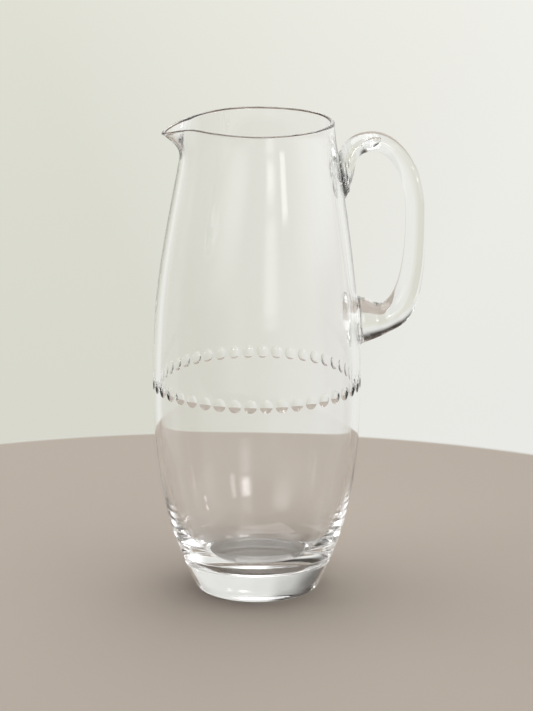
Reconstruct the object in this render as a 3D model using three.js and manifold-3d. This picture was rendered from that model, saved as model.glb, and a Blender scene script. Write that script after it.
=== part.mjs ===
// Crystal water pitcher: a blown body with a pulled lip and a belt of cut lenses, and a solid applied handle.
// Millimetres, +Z up. The origin is the centre of the face that the pitcher stands on.
// The handle points along +X and the lip along -X.

import * as THREE from 'three';
import { mergeGeometries, mergeVertices } from 'three/addons/utils/BufferGeometryUtils.js';
import Module from 'manifold-3d';

const wasm = await Module();
wasm.setup();

// Body, outside
const RIM_Z = 261; // height of the rim
const RIM_R = 42.4; // outer radius of the rim
const NECK_PULL = 13; // how far the neck runs straight below the rim
const BELLY_Z = 117; // height of the widest ring
const BELLY_R = 56.8; // outer radius there
const SHOULDER_PULL = 63; // how far the side keeps to the belly's radius above it
const HIP_PULL = 71; // and below it
const BASE_R = 33.8; // radius of the base before its edge is rounded
const BASE_EDGE = 2.6; // size of that rounding
const FOOT_OUT = 7; // the side leaves the base on this slope: out ...
const FOOT_UP = 16; // ... for this much up

// Body, inside
const RIM_THICKNESS = 2.4; // fire-polished, so the edge is a half round
const WALL = 4; // wall at the belly
const FLOOR_THICKNESS = 16.5; // solid glass under the water
const FLOOR_R = 22; // radius of the flat of the floor
const FLOOR_PULL = 19; // how far the floor runs level before it turns up
const POOL_PULL = 63; // how far the inner wall runs straight down from the belly

// Pouring lip, pulled from the hot rim
const LIP_REACH = 8.6; // how far its tip stands past the rim's circle
const LIP_DROP = 4; // how far the tip dips below the rim
const LIP_DROOP = 1.5; // how late it dips: 1 dips as steadily as the lip reaches out
const LIP_HALF_WIDTH = 11.2; // along the rim
const LIP_DEPTH = 15.5; // height of its beak
const LIP_SWEEP = 1.2; // how late the beak turns out: 1 is a straight slope
const LIP_SHARPNESS = 2; // how squarely its sides leave the rim
const LIP_PINCH = 3.75; // the rim is drawn in beside the lip by this much
const THROAT_HALF_WIDTH = 54.5; // how far round the rim that reaches
const THROAT_DEPTH = 106; // and how far down the neck
const THROAT_SHARPNESS = 6;

// Row of round lens cuts on the belly
const LENS_COUNT = 42;
const LENS_DIAMETER = 7.6;
const LENS_DEPTH = 0.7;
const LENS_Z = 118.2;
const LENS_RUNOUT = 0.4; // the grinding wheel's edge stays this far outside the cut
const WHEEL_THICKNESS = 3;

// Handle, in its own plane of symmetry
const TAIL_Z = 217.6; // lowest point of the tail drawn down the neck
const TAIL_THICKNESS = 2.4;
const TAIL_WIDTH = 3;
const TAIL_RISE = 17.4; // how far it runs up the neck before it turns out
const DROP_THICKNESS = 6; // the rounded end just above it
const DROP_WIDTH = 9;
const PAD_THICKNESS = 10; // upper end, where it is pressed on the neck
const PAD_WIDTH = 17;
const CROWN_Z = 247.7; // centre line at the top of the handle
const CROWN_OUT = 21; // its distance from the rim's circle there
const CROWN_RUN_IN = 14.7;
const CROWN_RUN_OUT = 13.2;
const CROWN_THICKNESS = 11.1;
const CROWN_WIDTH = 13;
const SHOULDER_THICKNESS = 10;
const SHOULDER_WIDTH = 12.4;
const GRIP_Z = 207; // height of the outermost point
const GRIP_OUT = 31.3; // centre line to the belly's radius
const GRIP_RISE = 22.3;
const GRIP_FALL = 66.1;
const GRIP_THICKNESS = 11.2;
const GRIP_WIDTH = 13.4;
const BEND_THICKNESS = 16.5; // above the heel
const BEND_WIDTH = 16;
const HEEL_Z = 148.6; // lower end, pressed on the belly
const HEEL_RUN = 18.9;
const HEEL_THICKNESS = 27.3;
const HEEL_WIDTH = 26;
const JOINT_GAP = 0.3; // between the handle and the body
const HEEL_SINK = 4; // the heel is made this much too long, then cut to the body's curve

// Facets
const TURN_FACETS = 64;
const LIP_CROWDING = 0.45; // draws the facets together towards the lip
const NECK_STEPS = 14;
const HIP_STEPS = 8;
const EDGE_STEPS = 4;
const LENS_FACETS = 12;
const LENS_STEPS = 2;
const HANDLE_FACETS = 18;
const HANDLE_STEPS = 39;

const crystal = { color: 0xe6e9e4, roughness: 0.04, metalness: 0 };

function smooth(t) {
  const u = THREE.MathUtils.clamp(t, 0, 1);
  return u * u * (3 - 2 * u);
}

// A flat-topped bump: 1 at the middle, fading past the half width, more suddenly with a higher power.
function bump(distance, halfWidth, power) {
  return Math.exp(-Math.pow(Math.abs(distance) / halfWidth, power));
}

// Solids and cuts
function toSolid(geometry) {
  const bare = geometry.clone();
  bare.deleteAttribute('normal');
  bare.deleteAttribute('uv');
  const merged = mergeVertices(bare, 1e-4);
  const index = merged.index.array;
  const triangles = [];
  for (let i = 0; i < index.length; i += 3) {
    const [a, b, c] = [index[i], index[i + 1], index[i + 2]];
    if (a !== b && b !== c && c !== a) {
      triangles.push(a, b, c);
    }
  }
  return new wasm.Manifold(new wasm.Mesh({
    numProp: 3,
    vertProperties: new Float32Array(merged.attributes.position.array),
    triVerts: new Uint32Array(triangles),
  }));
}

function toGeometry(solid) {
  const mesh = solid.getMesh();
  const geometry = new THREE.BufferGeometry();
  geometry.setAttribute('position', new THREE.BufferAttribute(new Float32Array(mesh.vertProperties), 3));
  geometry.setIndex(new THREE.BufferAttribute(new Uint32Array(mesh.triVerts), 1));
  geometry.computeVertexNormals();
  return geometry;
}

// Outline of the outside, from the edge of the flat base up to the rim, moved out by grow.
function outsideOutline(grow) {
  const slope = FOOT_OUT / FOOT_UP;
  const foot = new THREE.Vector2(BASE_R + BASE_EDGE * slope + grow, BASE_EDGE);
  const edge = new THREE.QuadraticBezierCurve(
    new THREE.Vector2(BASE_R - BASE_EDGE + grow, 0),
    new THREE.Vector2(BASE_R + grow, 0),
    foot,
  );
  const hip = new THREE.CubicBezierCurve(
    foot,
    new THREE.Vector2(foot.x + FOOT_OUT, foot.y + FOOT_UP),
    new THREE.Vector2(BELLY_R + grow, BELLY_Z - HIP_PULL),
    new THREE.Vector2(BELLY_R + grow, BELLY_Z),
  );
  const rimBottom = RIM_Z - RIM_THICKNESS / 2;
  const neck = new THREE.CubicBezierCurve(
    new THREE.Vector2(BELLY_R + grow, BELLY_Z),
    new THREE.Vector2(BELLY_R + grow, BELLY_Z + SHOULDER_PULL),
    new THREE.Vector2(RIM_R + grow, rimBottom - NECK_PULL),
    new THREE.Vector2(RIM_R + grow, rimBottom),
  );
  return [
    ...edge.getPoints(EDGE_STEPS),
    ...hip.getPoints(HIP_STEPS).slice(1),
    ...neck.getPoints(NECK_STEPS).slice(1),
  ];
}

// Outline of the half-round rim and the inside, from the rim down to the floor.
function insideOutline() {
  const rimRound = RIM_THICKNESS / 2;
  const rim = new THREE.EllipseCurve(RIM_R - rimRound, RIM_Z - rimRound, rimRound, rimRound, 0, Math.PI);
  const throat = new THREE.CubicBezierCurve(
    new THREE.Vector2(RIM_R - RIM_THICKNESS, RIM_Z - rimRound),
    new THREE.Vector2(RIM_R - RIM_THICKNESS, RIM_Z - rimRound - NECK_PULL),
    new THREE.Vector2(BELLY_R - WALL, BELLY_Z + SHOULDER_PULL),
    new THREE.Vector2(BELLY_R - WALL, BELLY_Z),
  );
  const pool = new THREE.CubicBezierCurve(
    new THREE.Vector2(BELLY_R - WALL, BELLY_Z),
    new THREE.Vector2(BELLY_R - WALL, BELLY_Z - POOL_PULL),
    new THREE.Vector2(FLOOR_R + FLOOR_PULL, FLOOR_THICKNESS),
    new THREE.Vector2(FLOOR_R, FLOOR_THICKNESS),
  );
  return [
    ...rim.getPoints(EDGE_STEPS).slice(1),
    ...throat.getPoints(NECK_STEPS).slice(1),
    ...pool.getPoints(HIP_STEPS).slice(1),
  ];
}

// Pulls the lip out of a turned shape: the throat narrows below the rim and the beak reaches out of it.
function pullLip(geometry) {
  const lipAngle = LIP_HALF_WIDTH / RIM_R;
  const throatAngle = THROAT_HALF_WIDTH / RIM_R;
  const position = geometry.attributes.position;
  for (let i = 0; i < position.count; i += 1) {
    const x = position.getX(i);
    const y = position.getY(i);
    const z = position.getZ(i);
    const even = Math.atan2(y, -x);
    const angle = even - LIP_CROWDING * Math.sin(even);
    const below = Math.max(0, RIM_Z - RIM_THICKNESS / 2 - z);
    const throat = smooth(1 - below / THROAT_DEPTH) * bump(angle, throatAngle, THROAT_SHARPNESS);
    const rise = Math.pow(Math.max(0, 1 - below / LIP_DEPTH), LIP_SWEEP);
    const beak = rise * bump(angle, lipAngle, LIP_SHARPNESS);
    const plain = Math.hypot(x, y);
    const radius = plain + beak * (LIP_REACH + LIP_PINCH) - throat * LIP_PINCH;
    const dip = LIP_DROP * Math.pow(beak, LIP_DROOP);
    position.setXYZ(i, -radius * Math.cos(angle), radius * Math.sin(angle), z - dip);
  }
  return geometry;
}

function turned(outline) {
  return pullLip(new THREE.LatheGeometry(outline, TURN_FACETS).rotateX(Math.PI / 2));
}

// One ground lens: a wheel with a rounded face, on the axis +X, whose deepest point is at the origin.
function lensWheel() {
  const half = LENS_DIAMETER / 2;
  const faceRadius = (half * half + LENS_DEPTH * LENS_DEPTH) / (2 * LENS_DEPTH);
  const edge = half + LENS_RUNOUT;
  const outline = [];
  for (let i = 0; i <= LENS_STEPS; i += 1) {
    const r = edge * i / LENS_STEPS;
    outline.push(new THREE.Vector2(r, faceRadius - Math.sqrt(faceRadius * faceRadius - r * r)));
  }
  outline.push(new THREE.Vector2(edge, WHEEL_THICKNESS));
  outline.push(new THREE.Vector2(0, WHEEL_THICKNESS));
  return new THREE.LatheGeometry(outline, LENS_FACETS).rotateZ(-Math.PI / 2);
}

function lensRow() {
  const pitch = 2 * Math.PI / LENS_COUNT;
  const wheels = [];
  for (let i = 0; i < LENS_COUNT; i += 1) {
    const wheel = lensWheel().translate(BELLY_R - LENS_DEPTH, 0, LENS_Z);
    wheels.push(wheel.rotateZ(i * pitch));
  }
  return mergeGeometries(wheels);
}

function glassBody() {
  const outline = [
    new THREE.Vector2(0, 0),
    ...outsideOutline(0),
    ...insideOutline(),
    new THREE.Vector2(0, FLOOR_THICKNESS),
  ];
  return toGeometry(toSolid(turned(outline)).subtract(toSolid(lensRow())));
}

// Radius of the outside at a height, read off its outline.
function outsideRadius(z) {
  const outline = outsideOutline(0);
  const above = outline.findIndex((point) => point.y > z);
  const low = outline[above - 1];
  const high = outline[above];
  return THREE.MathUtils.mapLinear(z, low.y, high.y, low.x, high.x);
}

// Centre line of the handle: up the neck and out to the crown, down to the grip, and in to the heel.
function handleCurves() {
  const tail = new THREE.Vector3(outsideRadius(TAIL_Z), 0, TAIL_Z);
  const crown = new THREE.Vector3(RIM_R + CROWN_OUT, 0, CROWN_Z);
  const grip = new THREE.Vector3(BELLY_R + GRIP_OUT, 0, GRIP_Z);
  const heel = new THREE.Vector3(outsideRadius(HEEL_Z) - HEEL_SINK, 0, HEEL_Z);
  return [
    new THREE.CubicBezierCurve3(
      tail,
      new THREE.Vector3(tail.x, 0, tail.z + TAIL_RISE),
      new THREE.Vector3(crown.x - CROWN_RUN_IN, 0, crown.z),
      crown,
    ),
    new THREE.CubicBezierCurve3(
      crown,
      new THREE.Vector3(crown.x + CROWN_RUN_OUT, 0, crown.z),
      new THREE.Vector3(grip.x, 0, grip.z + GRIP_RISE),
      grip,
    ),
    new THREE.CubicBezierCurve3(
      grip,
      new THREE.Vector3(grip.x, 0, grip.z - GRIP_FALL),
      new THREE.Vector3(heel.x + HEEL_RUN, 0, heel.z),
      heel,
    ),
  ];
}

// Oval section of the handle at the places along its centre line where it is measured.
const handleSections = [
  { at: 0, thickness: TAIL_THICKNESS, width: TAIL_WIDTH },
  { at: 0.07, thickness: DROP_THICKNESS, width: DROP_WIDTH },
  { at: 0.3, thickness: PAD_THICKNESS, width: PAD_WIDTH },
  { at: 1, thickness: CROWN_THICKNESS, width: CROWN_WIDTH },
  { at: 1.45, thickness: SHOULDER_THICKNESS, width: SHOULDER_WIDTH },
  { at: 2, thickness: GRIP_THICKNESS, width: GRIP_WIDTH },
  { at: 2.6, thickness: BEND_THICKNESS, width: BEND_WIDTH },
  { at: 3, thickness: HEEL_THICKNESS, width: HEEL_WIDTH },
];

function handleSection(at) {
  const next = Math.max(1, handleSections.findIndex((section) => section.at >= at));
  const low = handleSections[next - 1];
  const high = handleSections[next];
  const share = smooth((at - low.at) / (high.at - low.at));
  return {
    thickness: THREE.MathUtils.lerp(low.thickness, high.thickness, share),
    width: THREE.MathUtils.lerp(low.width, high.width, share),
  };
}

// The oval section carried along the centre line, closed by a flat cap at each end.
function handleLoft() {
  const curves = handleCurves();
  const points = [];
  for (let step = 0; step <= HANDLE_STEPS; step += 1) {
    const at = curves.length * step / HANDLE_STEPS;
    const piece = Math.min(curves.length - 1, Math.floor(at));
    const centre = curves[piece].getPoint(at - piece);
    const ahead = curves[piece].getTangent(at - piece);
    const { thickness, width } = handleSection(at);
    for (let i = 0; i < HANDLE_FACETS; i += 1) {
      const turn = 2 * Math.PI * i / HANDLE_FACETS;
      const outward = Math.cos(turn) * thickness / 2;
      const sideways = Math.sin(turn) * width / 2;
      points.push(centre.x - ahead.z * outward, sideways, centre.z + ahead.x * outward);
    }
  }
  const index = [];
  for (let step = 0; step < HANDLE_STEPS; step += 1) {
    for (let i = 0; i < HANDLE_FACETS; i += 1) {
      const a = step * HANDLE_FACETS + i;
      const b = step * HANDLE_FACETS + (i + 1) % HANDLE_FACETS;
      const c = a + HANDLE_FACETS;
      const d = b + HANDLE_FACETS;
      index.push(a, c, b, b, c, d);
    }
  }
  const last = HANDLE_STEPS * HANDLE_FACETS;
  for (let i = 1; i < HANDLE_FACETS - 1; i += 1) {
    index.push(0, i, i + 1);
    index.push(last, last + i + 1, last + i);
  }
  const geometry = new THREE.BufferGeometry();
  geometry.setAttribute('position', new THREE.Float32BufferAttribute(points, 3));
  geometry.setIndex(index);
  return geometry;
}

// The handle's two ends follow the body's curve, with the joint's gap between them.
function handle() {
  const space = [
    new THREE.Vector2(0, 0),
    ...outsideOutline(JOINT_GAP),
    new THREE.Vector2(0, RIM_Z - RIM_THICKNESS / 2),
  ];
  return toGeometry(toSolid(handleLoft()).subtract(toSolid(turned(space))));
}

function piece(name, geometry) {
  const mesh = new THREE.Mesh(geometry, new THREE.MeshStandardMaterial(crystal));
  mesh.name = name;
  return mesh;
}

const pitcher = new THREE.Group();
pitcher.name = 'crystal_water_pitcher';
pitcher.add(piece('glass_body', glassBody()));
pitcher.add(piece('handle', handle()));

export default pitcher;
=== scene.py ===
import bisect
import math

import bmesh
import bpy
from mathutils import Matrix, Vector


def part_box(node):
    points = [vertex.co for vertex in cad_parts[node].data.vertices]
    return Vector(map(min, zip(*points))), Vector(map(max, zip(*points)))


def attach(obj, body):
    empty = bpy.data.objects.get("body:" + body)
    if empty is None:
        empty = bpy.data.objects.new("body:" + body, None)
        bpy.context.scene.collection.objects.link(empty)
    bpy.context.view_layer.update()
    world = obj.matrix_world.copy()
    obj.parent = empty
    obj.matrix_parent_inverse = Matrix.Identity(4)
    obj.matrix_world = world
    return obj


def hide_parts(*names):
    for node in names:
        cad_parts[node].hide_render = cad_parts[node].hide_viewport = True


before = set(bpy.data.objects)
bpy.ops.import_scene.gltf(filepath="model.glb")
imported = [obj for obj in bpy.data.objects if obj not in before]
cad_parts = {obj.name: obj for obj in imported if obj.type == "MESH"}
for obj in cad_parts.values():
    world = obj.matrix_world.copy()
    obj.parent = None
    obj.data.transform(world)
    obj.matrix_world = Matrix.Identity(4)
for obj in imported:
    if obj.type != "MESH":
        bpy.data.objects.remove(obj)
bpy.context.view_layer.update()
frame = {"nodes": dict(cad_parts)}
mm = 0.001  # every size below is in millimetres until a mesh is made
print("frame loaded:", ", ".join(frame["nodes"]))


# small helpers

def hexColour(code):
    channels = [int(code[i:i + 2], 16) / 255 for i in (1, 3, 5)]
    linear = [c / 12.92 if c <= 0.04045 else ((c + 0.055) / 1.055) ** 2.4 for c in channels]
    return (*linear, 1.0)


def addNode(tree, kind, inputs=None, **settings):
    node = tree.nodes.new(kind)
    for name, value in settings.items():
        setattr(node, name, value)
    for name, value in (inputs or {}).items():
        if isinstance(value, bpy.types.NodeSocket):
            tree.links.new(value, node.inputs[name])
        else:
            node.inputs[name].default_value = value
    return node


def newMaterial(name):
    material = bpy.data.materials.new(name)
    material.use_nodes = True
    material.node_tree.nodes.clear()
    return material, material.node_tree


def newObject(name, points, faces):
    mesh = bpy.data.meshes.new(name)
    mesh.from_pydata([tuple(c * mm for c in p) for p in points], [], faces)
    mesh.validate()
    mesh.shade_smooth()
    made = bpy.data.objects.new(name, mesh)
    bpy.context.collection.objects.link(made)
    return made


def finishMesh(source, name):
    graph = bpy.context.evaluated_depsgraph_get()
    mesh = bpy.data.meshes.new_from_object(source.evaluated_get(graph))
    mesh.name = name
    made = bpy.data.objects.new(name, mesh)
    bpy.context.collection.objects.link(made)
    return made


def smoothStep(t):
    u = min(1.0, max(0.0, t))
    return u * u * (3 - 2 * u)


def bezier(corners, steps):
    curve = []
    for i in range(steps + 1):
        t = i / steps
        weights = ((1 - t) ** 3, 3 * t * (1 - t) ** 2, 3 * t * t * (1 - t), t ** 3)
        curve.append(tuple(sum(w * p[k] for w, p in zip(weights, corners)) for k in (0, 1)))
    return curve


# crystal

crystalLook = {
    "tint": "#fefefe",
    # painted shade: a dark brown tint for strips of the rim, standing in for the dark the rim shows
    "rimPaintedShade": "#432c1f",
    "ior": 1.545,  # full lead crystal is 1.53 to 1.57
    "roughness": 0.0,
}

# mm: how far apart the soft waves of drawing stand, how long they run, how deep they are
drawnWaves = {"width": 9.0, "height": 70.0, "depth": 0.05}

# painted shade: near black streaks at the upper joint, laid into the handle's tint and on a thin film there
foldLook = {
    "shade": "#14100d",
    "width": 1.3,  # mm between creases
    "length": 18.0,
    "from": 0.37,  # level of the noise at which a crease begins ...
    "to": 0.45,  # ... and at which it is full
    "reach": 4.0,  # mm out from the joint
    "roughness": 0.3,
}


def paintedCreaseShade(tree):
    # the upper end is pressed on and dragged down half cold, which leaves upright folds at the joint; their
    # dark is painted shade, streaks of noise that fade out from the joint
    coords = addNode(tree, "ShaderNodeTexCoord")
    scale = (1 / (foldLook["width"] * mm), 1 / (foldLook["width"] * mm), 1 / (foldLook["length"] * mm))
    place = addNode(tree, "ShaderNodeMapping", {"Vector": coords.outputs["Object"], "Scale": scale})
    noise = addNode(tree, "ShaderNodeTexNoise", {
        "Vector": place.outputs["Vector"],
        "Scale": 1.0,
        "Detail": 2.0,
    })
    near = addNode(tree, "ShaderNodeAttribute", attribute_name="creaseShadeReach")
    dark = addNode(tree, "ShaderNodeMapRange", {
        "Value": noise.outputs["Fac"],
        "From Min": foldLook["from"],
        "From Max": foldLook["to"],
        "To Max": near.outputs["Fac"],
    })
    return dark.outputs["Result"]


def crystal(tree, tint, **surface):
    glass = addNode(tree, "ShaderNodeBsdfPrincipled", {
        "Base Color": tint,
        "Roughness": crystalLook["roughness"],
        "IOR": crystalLook["ior"],
        "Transmission Weight": 1.0,
        **surface,
    })
    addNode(tree, "ShaderNodeOutputMaterial", {"Surface": glass.outputs["BSDF"]})


def polishedCrystal(name, tint):
    # clear lead crystal, fire polished: mirror smooth
    material, tree = newMaterial(name)
    crystal(tree, hexColour(tint))
    return material


def drawnCrystal():
    # drawn out by hand: never quite even, so reflections waver
    material, tree = newMaterial("leadCrystalDrawn")
    coords = addNode(tree, "ShaderNodeTexCoord")
    scale = (1 / (drawnWaves["width"] * mm), 1 / (drawnWaves["width"] * mm), 1 / (drawnWaves["height"] * mm))
    place = addNode(tree, "ShaderNodeMapping", {"Vector": coords.outputs["Object"], "Scale": scale})
    upright = addNode(tree, "ShaderNodeTexNoise", {
        "Vector": place.outputs["Vector"],
        "Scale": 1.0,
        "Detail": 1.0,
    })
    bump = addNode(tree, "ShaderNodeBump", {
        "Height": upright.outputs["Fac"],
        "Distance": drawnWaves["depth"] * mm,
        "Strength": 1.0,
    })
    # painted shade: the crease streaks darken the tint near the upper joint
    colour = addNode(tree, "ShaderNodeMix", {
        "Factor": paintedCreaseShade(tree),
        6: hexColour(crystalLook["tint"]),
        7: hexColour(foldLook["shade"]),
    }, data_type="RGBA")
    crystal(tree, colour.outputs[2], Normal=bump.outputs["Normal"])
    return material


bodyCrystal = polishedCrystal("leadCrystalBlown", crystalLook["tint"])
# the rim looks down into the whole height of the wall; the fine brown lines along it are painted shade, a
# dark brown tint on strips of its round edge
rimCrystal = polishedCrystal("leadCrystalPaintedRimShade", crystalLook["rimPaintedShade"])
handleCrystal = drawnCrystal()
bubbleCrystal = polishedCrystal("leadCrystalBubbleWall", crystalLook["tint"])


def fusedGlass():
    # where the two gathers are fused there is no surface left to see
    material, tree = newMaterial("fusedJoint")
    clear = addNode(tree, "ShaderNodeBsdfTransparent")
    addNode(tree, "ShaderNodeOutputMaterial", {"Surface": clear.outputs["BSDF"]})
    return material


def makePaintedCreaseFilm():
    # painted shade: a thin dark film in upright streaks at the upper joint, seen through the clear glass
    material, tree = newMaterial("paintedCreaseFilm")
    film = addNode(tree, "ShaderNodeBsdfPrincipled", {
        "Base Color": hexColour(foldLook["shade"]),
        "Roughness": foldLook["roughness"],
        "Alpha": paintedCreaseShade(tree),
    })
    addNode(tree, "ShaderNodeOutputMaterial", {"Surface": film.outputs["BSDF"]})
    return material


fusedJoint = fusedGlass()
paintedCreaseFilm = makePaintedCreaseFilm()
print("crystal mixed")


# body: turned outline, pulled lip

body = {
    "rimZ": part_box("glass_body")[1][2] / mm,
    "rimRadius": 42.4,
    "rimThickness": 2.4,
    "rimShadeLines": [(30, 60), (120, 155)],  # degrees over its round edge, from outside to inside, where the painted brown shade lies
    "neckPull": 13.0,
    "bellyZ": 117.0,
    "bellyRadius": 56.8,
    "shoulderPull": 63.0,
    "hipPull": 71.0,
    "baseRadius": 33.8,
    "baseEdge": 2.6,
    "footOut": 7.0,
    "footUp": 16.0,
    "wall": 4.0,
    "floorThickness": 16.5,
    "floorRadius": 22.0,
    "floorPull": 19.0,
    "poolPull": 63.0,
    "lipReach": 8.6,
    "lipDrop": 4.0,
    "lipDroop": 1.5,
    "lipHalfWidth": 11.2,
    "lipDepth": 15.5,
    "lipSweep": 1.2,
    "lipSharpness": 2.0,
    "lipSoftness": 0.35,  # share of its depth over which it runs into the neck
    "lipPinch": 3.75,
    "throatHalfWidth": 54.5,
    "throatDepth": 106.0,
    "throatSharpness": 6.0,
    "edgeRound": 0.67,  # how full the base's edge is
    "neckSteps": 48,
    "hipSteps": 40,
    "edgeSteps": 16,
    "curveSteps": 600,  # for looking up the outside radius at a height
}

# belt of ground lenses round the widest ring
lens = {
    "count": 42,
    "diameter": 7.6,
    "depth": 0.7,
    "z": 118.2,
    "beltHalfHeight": 4.6,
    "beltMargin": 0.5,  # the body's own rings stay this far off the belt
    "columns": 8,  # facets of the body across one lens
    "sideRows": 16,
    "rings": 7,  # inside one cut
    "landRings": 2,  # on the plain glass round it
    "weld": 0.01,
    "searchOut": 0.6,  # the edge of a cut is looked for this share of the diameter out ...
    "halvings": 40,  # ... by halving this often
}

rimBottom = body["rimZ"] - body["rimThickness"] / 2
footRadius = body["baseRadius"] + body["baseEdge"] * body["footOut"] / body["footUp"]
hipCorners = [
    (footRadius, body["baseEdge"]),
    (footRadius + body["footOut"], body["baseEdge"] + body["footUp"]),
    (body["bellyRadius"], body["bellyZ"] - body["hipPull"]),
    (body["bellyRadius"], body["bellyZ"]),
]
neckCorners = [
    (body["bellyRadius"], body["bellyZ"]),
    (body["bellyRadius"], body["bellyZ"] + body["shoulderPull"]),
    (body["rimRadius"], rimBottom - body["neckPull"]),
    (body["rimRadius"], rimBottom),
]

outsideCurve = bezier(hipCorners, body["curveSteps"]) + bezier(neckCorners, body["curveSteps"])[1:]
outsideHeights = [z for radius, z in outsideCurve]


def outsideRadius(z):
    above = min(max(bisect.bisect(outsideHeights, z), 1), len(outsideCurve) - 1)
    low, high = outsideCurve[above - 1], outsideCurve[above]
    return low[0] + (high[0] - low[0]) * (z - low[1]) / (high[1] - low[1])


def baseOutline():
    flat = body["baseRadius"] - body["baseEdge"]
    full = body["edgeRound"]
    edge = bezier([(flat, 0), (flat + body["baseEdge"] * full, 0),
                   (footRadius - (footRadius - body["baseRadius"]) * full, body["baseEdge"] * (1 - full)),
                   (footRadius, body["baseEdge"])], body["edgeSteps"])
    return [(0, 0), (flat / 2, 0)] + edge


def insideOutline():
    bore = body["rimRadius"] - body["rimThickness"]
    inner = body["bellyRadius"] - body["wall"]
    throat = bezier([(bore, rimBottom), (bore, rimBottom - body["neckPull"]),
                     (inner, body["bellyZ"] + body["shoulderPull"]),
                     (inner, body["bellyZ"])], body["neckSteps"])
    pool = bezier([(inner, body["bellyZ"]), (inner, body["bellyZ"] - body["poolPull"]),
                   (body["floorRadius"] + body["floorPull"], body["floorThickness"]),
                   (body["floorRadius"], body["floorThickness"])], body["hipSteps"])
    floor = [(share * body["floorRadius"], body["floorThickness"]) for share in (0.5, 0)]
    return throat + pool[1:] + floor


def rimOutline():
    half = body["rimThickness"] / 2
    turns = [math.pi * i / body["edgeSteps"] for i in range(1, body["edgeSteps"])]
    return [(body["rimRadius"] - half + half * math.cos(a), rimBottom + half * math.sin(a)) for a in turns]


def pullLip(point):
    x, y, z = point
    angle = math.atan2(y, -x)
    below = max(0.0, rimBottom - z)
    throatAngle = body["throatHalfWidth"] / body["rimRadius"]
    lipAngle = body["lipHalfWidth"] / body["rimRadius"]
    throat = smoothStep(1 - below / body["throatDepth"])
    throat *= math.exp(-(abs(angle) / throatAngle) ** body["throatSharpness"])
    rise = 1 - below / body["lipDepth"]
    soft = body["lipSoftness"]
    foot = max(0.0, min(rise, soft) + soft) ** 2 / (4 * soft)
    beak = (foot + max(0.0, rise - soft)) ** body["lipSweep"]
    beak *= math.exp(-(abs(angle) / lipAngle) ** body["lipSharpness"])
    radius = math.hypot(x, y) + beak * (body["lipReach"] + body["lipPinch"]) - throat * body["lipPinch"]
    height = z - body["lipDrop"] * beak ** body["lipDroop"]
    return (-radius * math.cos(angle), radius * math.sin(angle), height)


def turn(outlines, columns):
    # each outline is a strip of rings round Z; a point on the axis is one vertex
    points = []
    faces = []
    for outline in outlines:
        rings = []
        for radius, z in outline:
            start = len(points)
            if radius == 0:
                points.append((0, 0, z))
                rings.append([start] * columns)
                continue
            for i in range(columns):
                a = 2 * math.pi * i / columns
                points.append(pullLip((radius * math.cos(a), radius * math.sin(a), z)))
            rings.append(list(range(start, start + columns)))
        for low, high in zip(rings, rings[1:]):
            for i in range(columns):
                j = (i + 1) % columns
                quad = [low[i], low[j], high[j], high[i]]
                faces.append(list(dict.fromkeys(quad)))
    return points, faces


# which strips of the round rim carry the painted shade
def rimShadeStrips():
    middles = [180 * (i + 0.5) / body["edgeSteps"] for i in range(body["edgeSteps"])]
    return [any(low < middle < high for low, high in body["rimShadeLines"]) for middle in middles]


def turnedBody():
    beltLow = lens["z"] - lens["beltHalfHeight"]
    beltHigh = lens["z"] + lens["beltHalfHeight"]
    hip = [p for p in bezier(hipCorners, body["hipSteps"])[1:] if p[1] < beltLow - lens["beltMargin"]]
    neck = [p for p in bezier(neckCorners, body["neckSteps"]) if p[1] > beltHigh + lens["beltMargin"]]
    below = baseOutline() + hip + [(outsideRadius(beltLow), beltLow)]
    above = [(outsideRadius(beltHigh), beltHigh)] + neck + rimOutline() + insideOutline()
    columns = lens["count"] * lens["columns"]
    points, faces = turn([below, above], columns)
    made = newObject("turnedBody", points, faces)
    outside = len(below) + len(neck) - 1
    inside = len(above) - len(neck) - body["edgeSteps"] - 1
    inRim = [False] * outside + rimShadeStrips() + [False] * inside
    # the faces of these strips get the painted brown shade
    polished = made.data.attributes.new("polishedRim", "BOOLEAN", "FACE")
    for face in made.data.polygons:
        polished.data[face.index].value = inRim[face.index // columns]
    return made


# one lens with the plain glass round it, on +X; its ring of edges is sharp

def lensSurface(across, up):
    half = lens["diameter"] / 2
    face = (half * half + lens["depth"] ** 2) / (2 * lens["depth"])
    deepest = outsideRadius(lens["z"]) - lens["depth"]
    return deepest + face - math.sqrt(face * face - across * across - up * up)


def wallPoint(across, up):
    radius = outsideRadius(lens["z"] + up)
    angle = across / body["bellyRadius"]
    return (radius * math.cos(angle), radius * math.sin(angle), lens["z"] + up)


def cutReach(angle):
    # how far out along this direction the wheel's face meets the wall
    near, far = 0.0, lens["diameter"] * lens["searchOut"]
    for _ in range(lens["halvings"]):
        middle = (near + far) / 2
        across, up = middle * math.cos(angle), middle * math.sin(angle)
        if lensSurface(across, up) < wallPoint(across, up)[0]:
            near = middle
        else:
            far = middle
    return near


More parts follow.
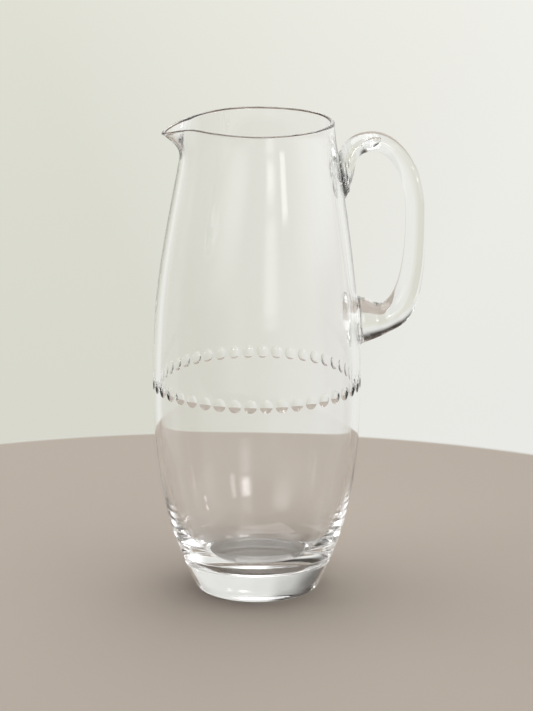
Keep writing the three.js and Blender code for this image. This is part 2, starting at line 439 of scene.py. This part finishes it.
def lensTile():
    halfWide = math.pi * body["bellyRadius"] / lens["count"]
    halfHigh = lens["beltHalfHeight"]
    columns, rows = lens["columns"], lens["sideRows"]
    border = [(halfWide, halfHigh * (2 * i / rows - 1)) for i in range(rows)]
    border += [(halfWide * (1 - 2 * i / columns), halfHigh) for i in range(columns)]
    border += [(-halfWide, halfHigh * (1 - 2 * i / rows)) for i in range(rows)]
    border += [(halfWide * (2 * i / columns - 1), -halfHigh) for i in range(columns)]
    count = len(border)
    points = [(lensSurface(0, 0), 0, lens["z"])]
    rings = []
    for ring in range(1, lens["rings"] + 1):
        share = ring / lens["rings"]
        rings.append([])
        for across, up in border:
            angle = math.atan2(up, across)
            reach = share * cutReach(angle)
            a, u = reach * math.cos(angle), reach * math.sin(angle)
            rings[-1].append(len(points))
            points.append((lensSurface(a, u), a, lens["z"] + u))
    for ring in range(1, lens["landRings"] + 1):
        share = ring / lens["landRings"]
        rings.append([])
        for across, up in border:
            angle = math.atan2(up, across)
            reach = cutReach(angle)
            a = reach * math.cos(angle) * (1 - share) + across * share
            u = reach * math.sin(angle) * (1 - share) + up * share
            rings[-1].append(len(points))
            points.append(wallPoint(a, u))
    faces = []
    for i in range(count):
        j = (i + 1) % count
        faces.append([0, rings[0][i], rings[0][j]])
        for inner, outer in zip(rings, rings[1:]):
            faces.append([inner[i], outer[i], outer[j], inner[j]])
    tile = newObject("lensTile", points, faces)
    outline = set(rings[lens["rings"] - 1])
    sharp = tile.data.attributes.new("sharp_edge", "BOOLEAN", "EDGE")
    for edge in tile.data.edges:
        sharp.data[edge.index].value = outline.issuperset(edge.vertices)
    return tile


def beltTree():
    tree = bpy.data.node_groups.new("lensBelt", "GeometryNodeTree")
    face = tree.interface
    face.new_socket("turnedBody", in_out="INPUT", socket_type="NodeSocketGeometry")
    face.new_socket("lensTile", in_out="INPUT", socket_type="NodeSocketObject")
    face.new_socket("lensCount", in_out="INPUT", socket_type="NodeSocketInt")
    face.new_socket("weld", in_out="INPUT", socket_type="NodeSocketFloat")
    face.new_socket("crystal", in_out="INPUT", socket_type="NodeSocketMaterial")
    face.new_socket("rimCrystal", in_out="INPUT", socket_type="NodeSocketMaterial")
    face.new_socket("body", in_out="OUTPUT", socket_type="NodeSocketGeometry")
    given = addNode(tree, "NodeGroupInput").outputs
    tile = addNode(tree, "GeometryNodeObjectInfo", {"Object": given["lensTile"]})
    spots = addNode(tree, "GeometryNodePoints", {"Count": given["lensCount"]})
    number = addNode(tree, "GeometryNodeInputIndex")
    pitch = addNode(tree, "ShaderNodeMath", {0: 2 * math.pi, 1: given["lensCount"]}, operation="DIVIDE")
    angle = addNode(tree, "ShaderNodeMath", {0: number.outputs[0], 1: pitch.outputs[0]},
                    operation="MULTIPLY")
    turnBy = addNode(tree, "ShaderNodeCombineXYZ", {"Z": angle.outputs[0]})
    belt = addNode(tree, "GeometryNodeInstanceOnPoints", {
        "Points": spots.outputs[0],
        "Instance": tile.outputs["Geometry"],
        "Rotation": turnBy.outputs[0],
    })
    solidBelt = addNode(tree, "GeometryNodeRealizeInstances", {"Geometry": belt.outputs[0]})
    both = addNode(tree, "GeometryNodeJoinGeometry", {"Geometry": solidBelt.outputs[0]})
    tree.links.new(given["turnedBody"], both.inputs["Geometry"])
    welded = addNode(tree, "GeometryNodeMergeByDistance", {
        "Geometry": both.outputs[0],
        "Distance": given["weld"],
    })
    dressed = addNode(tree, "GeometryNodeSetMaterial", {
        "Geometry": welded.outputs[0],
        "Material": given["crystal"],
    })
    # painted shade: the rim strips get the dark brown tinted crystal
    rim = addNode(tree, "GeometryNodeInputNamedAttribute", {"Name": "polishedRim"}, data_type="BOOLEAN")
    edged = addNode(tree, "GeometryNodeSetMaterial", {
        "Geometry": dressed.outputs[0],
        "Selection": rim.outputs["Attribute"],
        "Material": given["rimCrystal"],
    })
    addNode(tree, "NodeGroupOutput", {"body": edged.outputs[0]})
    return tree


def makeBody():
    turned = turnedBody()
    tile = lensTile()
    belt = turned.modifiers.new("lensBelt", "NODES")
    belt.node_group = beltTree()
    sockets = {item.name: item.identifier for item in belt.node_group.interface.items_tree}
    belt[sockets["lensTile"]] = tile
    belt[sockets["lensCount"]] = lens["count"]
    belt[sockets["weld"]] = lens["weld"] * mm
    belt[sockets["crystal"]] = bodyCrystal
    belt[sockets["rimCrystal"]] = rimCrystal
    made = finishMesh(turned, "plainBody")
    for scrap in (turned, tile):
        bpy.data.objects.remove(scrap)
    return made


# handle: an oval section carried up the neck, round the grip and in to the belly

handle = {
    "tailZ": 217.6,
    "tailRise": 17.4,
    "crownZ": 247.7,
    "crownOut": 21.0,
    "crownRunIn": 14.7,
    "crownRunOut": 13.2,
    "gripZ": 207.0,
    "gripOut": 31.3,
    "gripRise": 22.3,
    "gripFall": 66.1,
    "heelZ": 148.6,
    "heelRun": 18.9,
    "heelSink": 3.0,
    "jointDepth": 1.0,  # the ends reach this far into the wall before they are fused
    "fillet": 2.2,  # hot glass runs into the corner of the joint
    "ridgePitch": 1.7,  # the tool that drags the tail down leaves fine ridges beside the joint
    "ridgeDepth": 0.24,
    "ridgeReach": 7.5,
    # place along the three stretches, thickness in the handle's plane, width across it
    "sections": [
        (0.0, 2.4, 3.0),
        (0.07, 6.0, 9.0),
        (0.3, 10.0, 17.0),
        (1.0, 11.1, 13.0),
        (1.45, 10.0, 12.4),
        (2.0, 11.2, 13.4),
        (2.6, 16.5, 16.0),
        (3.0, 27.3, 26.0),
    ],
    "steps": 240,
    "facets": 144,
    "weld": 0.004,
    "sharpFrom": 16.0,  # degrees between two faces
}


def handleStretches():
    tail = (outsideRadius(handle["tailZ"]), handle["tailZ"])
    crown = (body["rimRadius"] + handle["crownOut"], handle["crownZ"])
    grip = (body["bellyRadius"] + handle["gripOut"], handle["gripZ"])
    heel = (outsideRadius(handle["heelZ"]) - handle["heelSink"], handle["heelZ"])
    steps = handle["steps"] // 3
    return [
        bezier([tail, (tail[0], tail[1] + handle["tailRise"]),
                (crown[0] - handle["crownRunIn"], crown[1]), crown], steps),
        bezier([crown, (crown[0] + handle["crownRunOut"], crown[1]),
                (grip[0], grip[1] + handle["gripRise"]), grip], steps),
        bezier([grip, (grip[0], grip[1] - handle["gripFall"]),
                (heel[0] + handle["heelRun"], heel[1]), heel], steps),
    ]


def handleSection(at):
    for low, high in zip(handle["sections"], handle["sections"][1:]):
        if at <= high[0]:
            share = smoothStep((at - low[0]) / (high[0] - low[0]))
            return [low[k] + (high[k] - low[k]) * share for k in (1, 2)]
    return handle["sections"][-1][1:]


def handleLoft():
    first, second, third = handleStretches()
    line = first + second[1:] + third[1:]
    facets = handle["facets"]
    points = []
    faces = []
    for step, (x, z) in enumerate(line):
        before = line[max(0, step - 1)]
        after = line[min(len(line) - 1, step + 1)]
        ahead = Vector((after[0] - before[0], after[1] - before[1])).normalized()
        thickness, width = handleSection(3 * step / (len(line) - 1))
        for i in range(facets):
            a = 2 * math.pi * i / facets
            out = math.cos(a) * thickness / 2
            point = (x - ahead.y * out, math.sin(a) * width / 2, z + ahead.x * out)
            points.append(softenJoint(point, (x, 0, z)))
        if step:
            start = (step - 1) * facets
            for i in range(facets):
                j = (i + 1) % facets
                faces.append([start + i, start + facets + i, start + facets + j, start + j])
    last = (len(line) - 1) * facets
    faces.append(list(range(facets)))
    faces.append([last + i for i in reversed(range(facets))])
    return newObject("handleLoft", points, faces)


def softenJoint(point, centre):
    # near the body the section swells, as hot glass does where it is pressed on
    x, y, z = point
    clear = math.hypot(x, y) - outsideRadius(z)
    near = 1 - min(1.0, max(0.0, clear / handle["fillet"]))
    swell = handle["fillet"] * (1 - math.sqrt(1 - near * near))
    if z > handle["gripZ"]:
        beside = smoothStep(1 - clear / handle["ridgeReach"])
        swell += handle["ridgeDepth"] * beside * math.cos(2 * math.pi * clear / handle["ridgePitch"])
    out = Vector(point) - Vector(centre)
    return Vector(point) + out.normalized() * swell


# a little air is caught in the crown as the hot end is folded on
bubble = {
    "place": (62.4, 0.0, 246.9),
    "long": 11.0,
    "thick": 3.0,
    "lean": 12.0,  # degrees, up to the right
    "taper": 0.22,  # slimmer towards the joint
    "rings": 40,
    "facets": 40,
}


def airBubble():
    # its faces look inwards, into the air
    centre = Vector(bubble["place"])
    lean = Matrix.Rotation(math.radians(-bubble["lean"]), 3, "Y")
    rings = []
    for i in range(bubble["rings"] + 1):
        turned = math.pi * i / bubble["rings"]
        along = -math.cos(turned)
        radius = bubble["thick"] / 2 * math.sin(turned) * (1 + bubble["taper"] * along)
        ring = []
        for j in range(bubble["facets"]):
            a = 2 * math.pi * j / bubble["facets"]
            offset = Vector((along * bubble["long"] / 2, radius * math.cos(a), radius * math.sin(a)))
            ring.append(centre + lean @ offset)
        rings.append(ring)
    faces = []
    for low, high in zip(rings, rings[1:]):
        for j in range(bubble["facets"]):
            k = (j + 1) % bubble["facets"]
            faces.append([low[j], low[k], high[k], high[j]])
    return faces


def cutWith(piece, tool, operation, name):
    cut = piece.modifiers.new(operation, "BOOLEAN")
    cut.operation = operation
    cut.solver = "MANIFOLD"
    cut.material_mode = "TRANSFER"
    cut.object = tool
    made = finishMesh(piece, name)
    piece.modifiers.remove(cut)
    return made


def trimmedHandle():
    loft = handleLoft()
    sink = handle["jointDepth"]
    outline = baseOutline()
    outline += bezier(hipCorners, body["hipSteps"])[1:]
    outline += bezier(neckCorners, body["neckSteps"])[1:]
    outline = [(r - sink if r else 0, z) for r, z in outline] + [(0, rimBottom)]
    space = newObject("bodySpace", *turn([outline], lens["count"] * lens["columns"]))
    loft.data.materials.append(handleCrystal)
    space.data.materials.append(handleCrystal)
    made = cutWith(loft, space, "DIFFERENCE", "trimmedHandle")
    for scrap in (loft, space):
        bpy.data.objects.remove(scrap)
    return made


def facesOf(piece, *materials):
    slots = piece.data.materials
    corners = [v.co / mm for v in piece.data.vertices]
    return [([corners[v] for v in f.vertices], slots[f.material_index]) for f in piece.data.polygons
            if slots[f.material_index] in materials]


def dropSlivers(mesh, joint):
    # along the joint's outline a few slivers of both sides lie flat on each other
    near = dict.fromkeys(face for f in joint for corner in f.verts for face in corner.link_faces)
    bmesh.ops.triangulate(mesh, faces=list(near))
    sides = {}
    for face in mesh.faces:
        sides.setdefault(frozenset(face.verts), []).append(face)
    flat = [face for pair in sides.values() if len(pair) > 1 for face in pair]
    bmesh.ops.delete(mesh, geom=flat, context="FACES")


def weld(name, faces):
    # each face is its corners and its material; together they close the piece
    points = [corner for corners, material in faces for corner in corners]
    polygons = []
    start = 0
    for corners, material in faces:
        polygons.append(list(range(start, start + len(corners))))
        start += len(corners)
    made = newObject(name, points, polygons)
    materials = list(dict.fromkeys(material for corners, material in faces))
    for material in materials:
        made.data.materials.append(material)
    for polygon, (corners, material) in zip(made.data.polygons, faces):
        polygon.material_index = materials.index(material)
    merged = bmesh.new()
    merged.from_mesh(made.data)
    bmesh.ops.remove_doubles(merged, verts=merged.verts, dist=handle["weld"] * mm)
    jointSlots = [i for i, material in enumerate(materials) if material in (fusedJoint, paintedCreaseFilm)]
    dropSlivers(merged, [face for face in merged.faces if face.material_index in jointSlots])
    merged.to_mesh(made.data)
    merged.free()
    made.data.shade_smooth()
    made.data.set_sharp_from_angle(angle=math.radians(handle["sharpFrom"]))
    return made


# the upper joint gets the film of painted crease shade, the lower one stays clear
def jointLook(corners):
    height = sum(c.z for c in corners) / len(corners)
    return paintedCreaseFilm if height > handle["gripZ"] else fusedJoint


def fuse(plainBody, plainHandle):
    whole = cutWith(plainBody, plainHandle, "UNION", "whole")
    shared = cutWith(plainBody, plainHandle, "INTERSECT", "shared")
    joint = [corners for corners, material in facesOf(shared, bodyCrystal)]
    bodySide = [(corners, fusedJoint) for corners in joint]
    handleSide = [(corners[::-1], jointLook(corners)) for corners in joint]
    bubbleSide = [(corners, bubbleCrystal) for corners in airBubble()]
    made = (weld("glassBody", facesOf(whole, bodyCrystal, rimCrystal) + bodySide),
            weld("appliedHandle", facesOf(whole, handleCrystal) + handleSide + bubbleSide))
    for scrap in (plainBody, plainHandle, whole, shared):
        bpy.data.objects.remove(scrap)
    return made


def markCreaseShadeReach(piece):
    # how much painted crease shade lies here: 1 at the upper joint, fading outwards
    creaseShadeReach = piece.data.attributes.new("creaseShadeReach", "FLOAT", "POINT")
    for vertex in piece.data.vertices:
        x, y, z = vertex.co / mm
        if z > handle["gripZ"]:
            clear = math.hypot(x, y) - outsideRadius(z)
            creaseShadeReach.data[vertex.index].value = smoothStep(1 - clear / foldLook["reach"])


glassBody, appliedHandle = fuse(makeBody(), trimmedHandle())
markCreaseShadeReach(appliedHandle)
print("body and handle fused:", len(glassBody.data.polygons), len(appliedHandle.data.polygons), "faces")


# stage: a pale floor that runs out to the horizon, a pale room and soft light

stage = {
    "floorRings": [0, 60, 120, 200, 320, 500, 800, 1300, 2000, 3500, 6000],
    "floorFacets": 96,
    "floorDrop": 0.02,  # just clear of the underside
    "floorNear": "#bdb2a8",
    "floorFar": "#e8e9e5",
    "nearCentre": (-47.0, -118.0, 0.0),  # middle of the darker round on the floor
    "nearRadius": 414.0,
    "farRadius": 421.0,
    # painted shade: tone of the floor far out, by how far to the right of the axis it lies; the glass shows
    # these darker bands too
    "backdropPaintedShade": [
        (-1.0, "#d2d1c9"), (-0.76, "#d2d1c9"), (-0.57, "#ebebe7"), (-0.43, "#ebebe7"),
        (-0.37, "#d8d8cd"), (0.03, "#d8d8cd"), (0.2, "#e2e2da"), (0.36, "#e9e9e4"),
        (0.9, "#eaeae6"), (0.97, "#cac3bb"), (1.0, "#cac3bb"),
    ],
    "paintedLightFrom": 500.0,  # painted light: the far floor grows lighter from here ...
    "paintedLightFull": 2200.0,
    "paintedLightGlow": 1.09,  # ... up to this much
}


def makeFloor():
    points, faces = turn([[(r, 0) for r in stage["floorRings"]]], stage["floorFacets"])
    points = [(x, y, -stage["floorDrop"]) for x, y, z in points]
    floor = newObject("paleFloor", points, [face[::-1] for face in faces])
    # matt pale paper; far out it shows as a pale ground, to the eye and in the glass, with painted shade by
    # heading and painted light that rises with distance
    material, tree = newMaterial("palePaper")
    coords = addNode(tree, "ShaderNodeTexCoord").outputs["Object"]
    centre = tuple(c * mm for c in stage["nearCentre"])
    offset = addNode(tree, "ShaderNodeVectorMath", {0: coords, 1: centre}, operation="SUBTRACT")
    away = addNode(tree, "ShaderNodeVectorMath", {0: offset.outputs["Vector"]}, operation="LENGTH")
    fade = addNode(tree, "ShaderNodeMapRange", {
        "Value": away.outputs["Value"],
        "From Min": stage["nearRadius"] * mm,
        "From Max": stage["farRadius"] * mm,
    }, interpolation_type="SMOOTHSTEP")
    heading = addNode(tree, "ShaderNodeVectorMath", {0: coords}, operation="NORMALIZE")
    parts = addNode(tree, "ShaderNodeSeparateXYZ", {"Vector": heading.outputs["Vector"]})
    across = addNode(tree, "ShaderNodeMapRange", {
        "Value": parts.outputs["X"],
        "From Min": -1.0,
        "From Max": 1.0,
    })
    far = addNode(tree, "ShaderNodeValToRGB", {"Fac": across.outputs["Result"]})
    stops = far.color_ramp.elements
    while len(stops) < len(stage["backdropPaintedShade"]):
        stops.new(0.5)
    for stop, (place, tone) in zip(stops, stage["backdropPaintedShade"]):
        stop.position = (place + 1) / 2
        stop.color = hexColour(tone)
    colour = addNode(tree, "ShaderNodeMix", {
        "Factor": fade.outputs["Result"],
        6: hexColour(stage["floorNear"]),
        7: hexColour(stage["floorFar"]),
    }, data_type="RGBA")
    matt = addNode(tree, "ShaderNodeBsdfDiffuse", {"Color": colour.outputs[2]})
    # painted light: the far floor's glow rises with distance
    paintedLightRise = addNode(tree, "ShaderNodeMapRange", {
        "Value": away.outputs["Value"],
        "From Min": stage["paintedLightFrom"] * mm,
        "From Max": stage["paintedLightFull"] * mm,
        "To Min": 1.0,
        "To Max": stage["paintedLightGlow"],
    })
    # painted light and shade: the far floor glows in the backdrop's tones, lighter with distance
    glow = addNode(tree, "ShaderNodeEmission", {
        "Color": far.outputs["Color"],
        "Strength": paintedLightRise.outputs["Result"],
    })
    rays = addNode(tree, "ShaderNodeLightPath").outputs
    shiny = addNode(tree, "ShaderNodeMath", {0: rays["Is Glossy Ray"], 1: rays["Is Transmission Ray"]},
                    operation="MAXIMUM")
    seen = addNode(tree, "ShaderNodeMath", {0: rays["Is Camera Ray"], 1: shiny.outputs[0]},
                   operation="MAXIMUM")
    share = addNode(tree, "ShaderNodeMath", {0: seen.outputs[0], 1: fade.outputs["Result"]},
                    operation="MULTIPLY")
    either = addNode(tree, "ShaderNodeMixShader", {
        "Fac": share.outputs[0],
        1: matt.outputs["BSDF"],
        2: glow.outputs["Emission"],
    })
    addNode(tree, "ShaderNodeOutputMaterial", {"Surface": either.outputs["Shader"]})
    floor.data.materials.append(material)
    return floor


makeFloor()

# the room is pale all round; only its upper left corner is dark
worldLook = {
    "pale": "#e8e9e5",
    "dark": "#352f2b",
    "lowUntil": 0.08,  # sine of the height above the horizon
    "highFrom": 0.4,
    "paleFrom": 0.06,  # how far to the right of the axis
    "darkUntil": -0.12,
    "strength": 1.0,
}


def makeWorld():
    world = bpy.data.worlds.new("softRoom")
    world.use_nodes = True
    tree = world.node_tree
    tree.nodes.clear()
    coords = addNode(tree, "ShaderNodeTexCoord")
    parts = addNode(tree, "ShaderNodeSeparateXYZ", {"Vector": coords.outputs["Generated"]})
    high = addNode(tree, "ShaderNodeMapRange", {
        "Value": parts.outputs["Z"],
        "From Min": worldLook["lowUntil"],
        "From Max": worldLook["highFrom"],
    }, interpolation_type="SMOOTHSTEP")
    left = addNode(tree, "ShaderNodeMapRange", {
        "Value": parts.outputs["X"],
        "From Min": worldLook["paleFrom"],
        "From Max": worldLook["darkUntil"],
    }, interpolation_type="SMOOTHSTEP")
    corner = addNode(tree, "ShaderNodeMath", {0: high.outputs["Result"], 1: left.outputs["Result"]},
                     operation="MULTIPLY")
    colour = addNode(tree, "ShaderNodeMix", {
        "Factor": corner.outputs[0],
        6: hexColour(worldLook["pale"]),
        7: hexColour(worldLook["dark"]),
    }, data_type="RGBA")
    glow = addNode(tree, "ShaderNodeBackground", {
        "Color": colour.outputs[2],
        "Strength": worldLook["strength"],
    })
    addNode(tree, "ShaderNodeOutputWorld", {"Surface": glow.outputs["Background"]})
    bpy.context.scene.world = world


makeWorld()

# one big softbox overhead; glow is measured against a white of 1
softbox = {
    "place": (-250.0, 250.0, 1500.0),
    "wide": 1600.0,
    "long": 1300.0,
    "glow": 2.4,
}


def makeSoftbox():
    light = bpy.data.lights.new("overheadSoftbox", "AREA")
    light.shape = "RECTANGLE"
    light.size = softbox["wide"] * mm
    light.size_y = softbox["long"] * mm
    light.energy = softbox["glow"] * math.pi * light.size * light.size_y
    made = bpy.data.objects.new("overheadSoftbox", light)
    made.location = Vector(softbox["place"]) * mm
    made.visible_camera = False
    bpy.context.collection.objects.link(made)


makeSoftbox()

# curtained windows round the front, for the reflections only: degrees from the front, mm above the floor;
# glow is at the sill and at the top, soft is the share that fades at each side and at each end
windowAway = 1500.0
windows = {
    "windowFront": {
        "azimuth": 6.5, "heights": (0, 320), "wide": 750,
        "glow": (1.8, 1.8), "soft": (0.45, 0.1),
    },
    "windowAbove": {
        "azimuth": 7.5, "heights": (315, 760), "wide": 600,
        "glow": (10, 8), "soft": (0.45, 0.25),
    },
    "windowLeft": {
        "azimuth": -50, "heights": (0, 1300), "wide": 1300,
        "glow": (1.4, 3.6), "soft": (0.45, 0.45),
    },
    "windowRight": {
        "azimuth": 27, "heights": (260, 700), "wide": 300,
        "glow": (4.5, 4.5), "soft": (0.35, 0.1),
    },
    "windowSide": {
        "azimuth": 78, "heights": (0, 1300), "wide": 2900,
        "glow": (1.3, 1.6), "soft": (0.4, 0.1),
    },
    "paneLow": {
        "azimuth": 78, "heights": (285, 370), "wide": 110,
        "glow": (12, 12), "soft": (0.1, 0.1),
    },
    "paneHigh": {
        "azimuth": 80, "heights": (410, 530), "wide": 110,
        "glow": (12, 12), "soft": (0.1, 0.1),
    },
}


def windowLight(name, window):
    # net curtain: bright in the middle, fading out at the sides
    material, tree = newMaterial(name + "Curtain")
    coords = addNode(tree, "ShaderNodeTexCoord")
    parts = addNode(tree, "ShaderNodeSeparateXYZ", {"Vector": coords.outputs["UV"]})
    masks = []
    for axis, soft in zip(("X", "Y"), window["soft"]):
        inwards = addNode(tree, "ShaderNodeMath", {0: parts.outputs[axis], 1: 0.5}, operation="PINGPONG")
        masks.append(addNode(tree, "ShaderNodeMapRange", {
            "Value": inwards.outputs[0],
            "From Max": soft,
        }, interpolation_type="SMOOTHSTEP").outputs["Result"])
    both = addNode(tree, "ShaderNodeMath", {0: masks[0], 1: masks[1]}, operation="MULTIPLY")
    clear = addNode(tree, "ShaderNodeBsdfTransparent")
    rising = addNode(tree, "ShaderNodeMapRange", {
        "Value": parts.outputs["Y"],
        "To Min": window["glow"][0],
        "To Max": window["glow"][1],
    })
    glow = addNode(tree, "ShaderNodeEmission", {"Strength": rising.outputs["Result"]})
    either = addNode(tree, "ShaderNodeMixShader", {
        "Fac": both.outputs[0],
        1: clear.outputs["BSDF"],
        2: glow.outputs["Emission"],
    })
    addNode(tree, "ShaderNodeOutputMaterial", {"Surface": either.outputs["Shader"]})
    return material


def makeWindows():
    for name, window in windows.items():
        azimuth = math.radians(window["azimuth"])
        middle = Vector((math.sin(azimuth), -math.cos(azimuth), 0)) * windowAway
        side = Vector((math.cos(azimuth), math.sin(azimuth), 0)) * window["wide"] / 2
        low, high = [Vector((0, 0, z)) for z in window["heights"]]
        corners = [middle - side + low, middle + side + low, middle + side + high, middle - side + high]
        made = newObject(name, corners, [[0, 1, 2, 3]])
        sheet = made.data.uv_layers.new(name="sheet")
        for corner, uv in zip(sheet.data, [(0, 0), (1, 0), (1, 1), (0, 1)]):
            corner.uv = uv
        made.data.materials.append(windowLight(name, window))
        made.visible_camera = False
        made.visible_diffuse = False
        made.visible_shadow = False


makeWindows()

# camera: a long lens above and in front, turned a little towards the lip
camera = {
    "imageHeight": 711,
    "focalPixels": 3453.0,
    "sensorHeight": 36.0,
    "azimuth": -9.4,  # degrees, about the body's axis
    "distance": 1817.0,  # from the axis, level
    "height": 628.1,
    "tilt": 15.3,  # degrees down
    "pan": -0.17,  # degrees, so the body stands left of the middle
    "roll": 0.19,
}


def makeCamera():
    view = bpy.data.cameras.new("photoView")
    view.sensor_fit = "VERTICAL"
    view.sensor_height = camera["sensorHeight"]
    view.lens = camera["sensorHeight"] * camera["focalPixels"] / camera["imageHeight"]
    made = bpy.data.objects.new("photoView", view)
    azimuth = math.radians(camera["azimuth"])
    away = camera["distance"]
    place = Vector((away * math.sin(azimuth), -away * math.cos(azimuth), camera["height"])) * mm
    turnTo = Matrix.Rotation(azimuth + math.radians(camera["pan"]), 4, "Z")
    tiltTo = Matrix.Rotation(math.radians(90 - camera["tilt"]), 4, "X")
    rollTo = Matrix.Rotation(math.radians(-camera["roll"]), 4, "Z")
    made.matrix_world = Matrix.Translation(place) @ turnTo @ tiltTo @ rollTo
    bpy.context.collection.objects.link(made)
    bpy.context.scene.camera = made


makeCamera()
bpy.context.scene.view_settings.view_transform = "Standard"
# light that runs up and down the thick wall, or round the rim, turns many times before it comes out
bounces = {"glossy_bounces": 64, "transmission_bounces": 64, "max_bounces": 96}
for kind, count in bounces.items():
    setattr(bpy.context.scene.cycles, kind, count)
print("stage set")

# hand over
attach(glassBody, "root")
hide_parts("glass_body")
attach(appliedHandle, "root")
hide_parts("handle")
